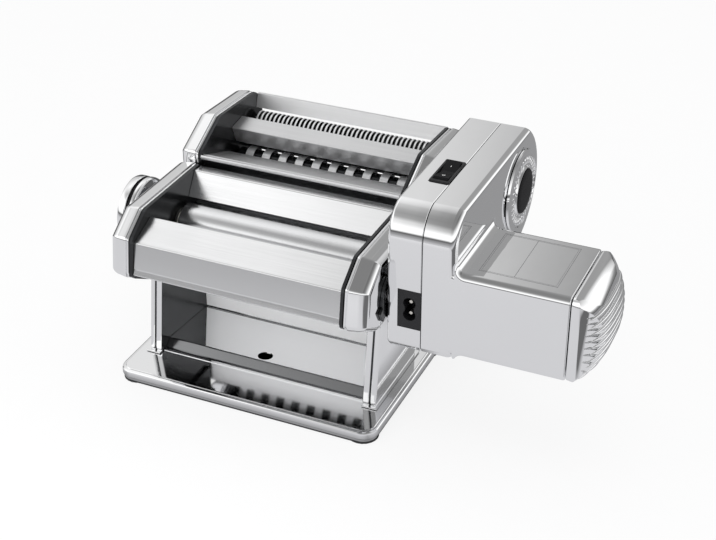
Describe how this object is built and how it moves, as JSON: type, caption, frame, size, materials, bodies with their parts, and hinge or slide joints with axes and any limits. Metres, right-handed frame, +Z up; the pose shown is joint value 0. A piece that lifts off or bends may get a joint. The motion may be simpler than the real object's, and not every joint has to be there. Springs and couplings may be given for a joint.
{
  "type": "electric pasta maker",
  "caption": "Chrome pasta maker: smooth rollers with a pull-out thickness dial, a ribbon cutter head behind, and a slide-on motor with rocker switch.",
  "frame": {"origin": "middle of the underside of the base, on the table", "axes": "+X along the rollers towards the motor, -Y the front where the sheet comes out, +Z up"},
  "size_m": [0.3626, 0.1995, 0.1731],
  "materials": {
    "rubber_mat": "matt black",
    "chrome_sheet": "mirror chrome",
    "plated_plastic": "chrome-plated plastic, mirror finish",
    "black_plastic": "moulded satin black",
    "gear_steel": "machined",
    "white_nylon": "natural nylon",
    "roller_aluminium": "fine turned satin",
    "badge_metal": "bright ring",
    "brass_pin": "polished",
    "motor_can": "dark zinc"
  },
  "bodies": {
    "machine_frame": {"base_mat": "rubber_mat", "base_tray": "chrome_sheet", "upright_left": "chrome_sheet", "side_plate_left": "chrome_sheet", "upright_right": "chrome_sheet", "side_plate_right": "chrome_sheet", "side_cover_left": "plated_plastic", "side_cover_right": "plated_plastic", "front_panel": "chrome_sheet", "hopper_plate": "chrome_sheet", "outlet_panel": "chrome_sheet", "front_scraper": "black_plastic", "tie_rod": "gear_steel", "front_bush_left": "white_nylon", "front_bush_right": "white_nylon", "regulator_plate": "gear_steel", "cutter_plate_left": "chrome_sheet", "cutter_plate_right": "chrome_sheet", "cutter_cover_left": "plated_plastic", "cutter_cover_right": "plated_plastic", "cutter_front_plate": "chrome_sheet", "cutter_ridge": "chrome_sheet", "cutter_rear_plate": "chrome_sheet", "wide_comb": "black_plastic", "narrow_comb": "black_plastic"},
    "rear_carrier": {"rear_bush_left": "white_nylon", "rear_bush_right": "white_nylon", "rear_scraper": "black_plastic"},
    "front_roller_body": {"front_roller": "roller_aluminium", "front_roller_gear": "gear_steel"},
    "rear_roller_body": {"rear_roller": "roller_aluminium", "rear_roller_gear": "gear_steel"},
    "spindle_body": {"regulator_spindle": "gear_steel", "knob_spring": "gear_steel"},
    "knob_body": {"regulator_knob": "plated_plastic"},
    "wide_front_body": {"wide_cutter_front": "roller_aluminium"},
    "wide_rear_body": {"wide_cutter_rear": "roller_aluminium"},
    "narrow_front_body": {"narrow_cutter_front": "roller_aluminium"},
    "narrow_rear_body": {"narrow_cutter_rear": "roller_aluminium"},
    "motor_unit": {"motor_inner_shell": "plated_plastic", "motor_outer_shell": "plated_plastic", "motor_end_cap": "plated_plastic", "badge": "badge_metal", "switch_bezel": "black_plastic", "inlet_socket": "black_plastic", "inlet_pin_lower": "brass_pin", "inlet_pin_upper": "brass_pin", "gearmotor": "motor_can", "bayonet_ring": "gear_steel"},
    "rocker_body": {"switch_rocker": "black_plastic"},
    "roller_output_body": {"roller_output": "white_nylon"},
    "drive_gear_body": {"drive_gear": "white_nylon"},
    "idler_gear_body": {"idler_gear": "white_nylon"},
    "wide_output_body": {"wide_output": "white_nylon"},
    "narrow_output_body": {"narrow_output": "white_nylon"}
  },
  "joints": [
    {"name": "front_roller_spin", "type": "hinge", "parent": "machine_frame", "child": "front_roller_body", "pos_m": [0, -0.0295, 0.101], "axis": [1, 0, 0], "continuous": true},
    {"name": "rear_roller_shift", "type": "slide", "parent": "machine_frame", "child": "rear_carrier", "axis": [0, 1, 0], "range_m": [-0.0014, 0.0028]},
    {"name": "rear_roller_spin", "type": "hinge", "parent": "rear_carrier", "child": "rear_roller_body", "pos_m": [0, 0.0005, 0.101], "axis": [1, 0, 0], "continuous": true},
    {"name": "knob_dial", "type": "hinge", "parent": "machine_frame", "child": "spindle_body", "pos_m": [0, 0.0005, 0.101], "axis": [1, 0, 0], "range_deg": [-216, 108]},
    {"name": "knob_pull", "type": "slide", "parent": "spindle_body", "child": "knob_body", "axis": [-1, 0, 0], "range_m": [0, 0.004], "stiffness_N_per_m": 400, "springref_m": -0.002, "deforming": ["knob_spring"]},
    {"name": "wide_front_spin", "type": "hinge", "parent": "machine_frame", "child": "wide_front_body", "pos_m": [0, 0.06991, 0.11406], "axis": [1, 0, 0], "continuous": true},
    {"name": "wide_rear_spin", "type": "hinge", "parent": "machine_frame", "child": "wide_rear_body", "pos_m": [0, 0.08641, 0.11406], "axis": [1, 0, 0], "continuous": true},
    {"name": "narrow_front_spin", "type": "hinge", "parent": "machine_frame", "child": "narrow_front_body", "pos_m": [0, 0.09822, 0.13044], "axis": [1, 0, 0], "continuous": true},
    {"name": "narrow_rear_spin", "type": "hinge", "parent": "machine_frame", "child": "narrow_rear_body", "pos_m": [0, 0.11472, 0.13044], "axis": [1, 0, 0], "continuous": true},
    {"name": "motor_release", "type": "slide", "parent": "machine_frame", "child": "motor_unit", "axis": [1, 0, 0], "range_m": [0, 0.03]},
    {"name": "switch_rock", "type": "hinge", "parent": "motor_unit", "child": "rocker_body", "pos_m": [0.11525, 0.021, 0.17], "axis": [1, 0, 0], "range_deg": [-9, 9]},
    {"name": "roller_output_spin", "type": "hinge", "parent": "motor_unit", "child": "roller_output_body", "pos_m": [0, -0.0295, 0.101], "axis": [1, 0, 0], "continuous": true},
    {"name": "drive_gear_spin", "type": "hinge", "parent": "motor_unit", "child": "drive_gear_body", "pos_m": [0, 0.00282, 0.101], "axis": [1, 0, 0], "continuous": true},
    {"name": "idler_gear_spin", "type": "hinge", "parent": "motor_unit", "child": "idler_gear_body", "pos_m": [0, 0.05332, 0.10162], "axis": [1, 0, 0], "continuous": true},
    {"name": "wide_output_spin", "type": "hinge", "parent": "motor_unit", "child": "wide_output_body", "pos_m": [0, 0.08641, 0.11406], "axis": [1, 0, 0], "continuous": true},
    {"name": "narrow_output_spin", "type": "hinge", "parent": "motor_unit", "child": "narrow_output_body", "pos_m": [0, 0.09822, 0.13044], "axis": [1, 0, 0], "continuous": true}
  ],
  "couplings": [
    {"joint": "rear_roller_spin", "follows": "front_roller_spin", "ratio": -1},
    {"joint": "roller_output_spin", "follows": "front_roller_spin", "ratio": 1},
    {"joint": "drive_gear_spin", "follows": "front_roller_spin", "ratio": -0.28},
    {"joint": "idler_gear_spin", "follows": "front_roller_spin", "ratio": 0.28},
    {"joint": "wide_output_spin", "follows": "front_roller_spin", "ratio": -0.7},
    {"joint": "narrow_output_spin", "follows": "front_roller_spin", "ratio": 0.7},
    {"joint": "wide_rear_spin", "follows": "front_roller_spin", "ratio": -0.7},
    {"joint": "wide_front_spin", "follows": "front_roller_spin", "ratio": 0.7},
    {"joint": "narrow_front_spin", "follows": "front_roller_spin", "ratio": 0.7},
    {"joint": "narrow_rear_spin", "follows": "front_roller_spin", "ratio": -0.7},
    {"joint": "knob_dial", "follows": "rear_roller_shift", "rad_per_m": -1346.4}
  ]
}
